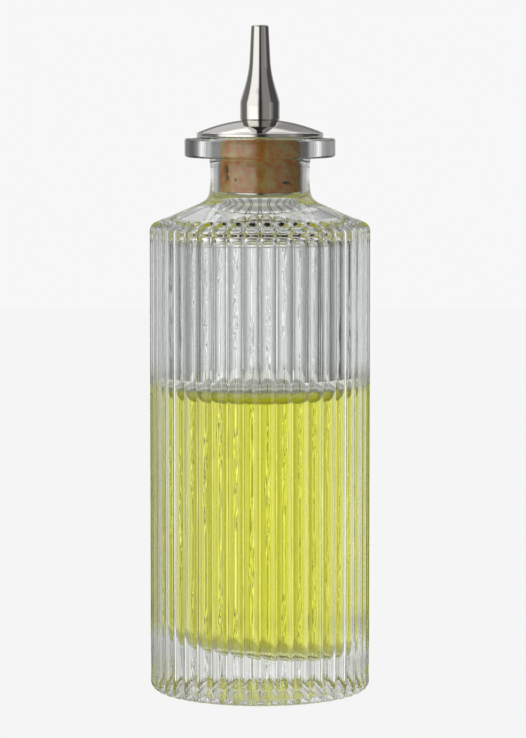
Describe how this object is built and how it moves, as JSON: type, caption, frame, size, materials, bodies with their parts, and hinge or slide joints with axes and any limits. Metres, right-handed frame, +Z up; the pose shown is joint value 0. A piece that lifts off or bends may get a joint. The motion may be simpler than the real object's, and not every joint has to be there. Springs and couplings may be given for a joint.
{
  "type": "glass dasher bottle",
  "caption": "Fluted clear glass dasher bottle of golden oil, closed by a cork with a polished metal domed cap and a slender drip nozzle.",
  "frame": {"origin": "on the table, at the centre of the bottle's base", "axes": "+Z up along the bottle's axis; -Y is the front, which a rib between two flutes faces; the glass floor falls towards +X"},
  "size_m": [0.0498, 0.05, 0.1513],
  "materials": {
    "clear_glass": "polished clear glass with vertical flutes",
    "oil": "clear yellow-green oil",
    "cork": "natural cork with dark pits",
    "polished_metal": "polished nickel plate",
    "tube_metal": "drawn stainless tube"
  },
  "bodies": {
    "bottle": {"glass_bottle": "clear_glass", "oil_fill": "oil"},
    "stopper": {"cork_stopper": "cork", "dome_cap": "polished_metal", "dasher_nozzle": "polished_metal", "stem_tube": "tube_metal", "retaining_disc": "polished_metal"}
  },
  "joints": [
    {"name": "stopper_lift", "type": "slide", "parent": "bottle", "child": "stopper", "axis": [0, 0, 1], "range_m": [0, 0.035]}
  ]
}
